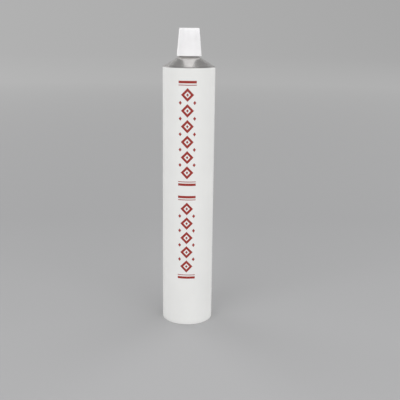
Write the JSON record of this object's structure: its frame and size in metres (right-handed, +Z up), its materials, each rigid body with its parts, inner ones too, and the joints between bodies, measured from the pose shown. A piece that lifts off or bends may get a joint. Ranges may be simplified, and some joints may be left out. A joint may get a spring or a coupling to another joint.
{
  "type": "ointment tube",
  "caption": "Empty round collapsible aluminium tube, open at the filling end, with a conical shoulder, a threaded neck and a conical screw cap.",
  "frame": {"origin": "centre of the sleeve's open end, in the plane that the tube stands on", "axes": "+Z up along the tube's axis from the open end towards the cap; the printed front faces -Y; +X is to the right seen from the front"},
  "size_m": [0.028, 0.028, 0.1618],
  "materials": {
    "enamelled_aluminium": "satin",
    "cap_plastic": "satin",
    "red_ink": "satin"
  },
  "bodies": {
    "tube": {"tube": "enamelled_aluminium", "print": "red_ink"},
    "cap": {"cap": "cap_plastic"}
  },
  "joints": [
    {"name": "cap_lift", "type": "slide", "parent": "tube", "child": "cap", "axis": [0, 0, 1], "range_m": [0, 0.015]}
  ]
}
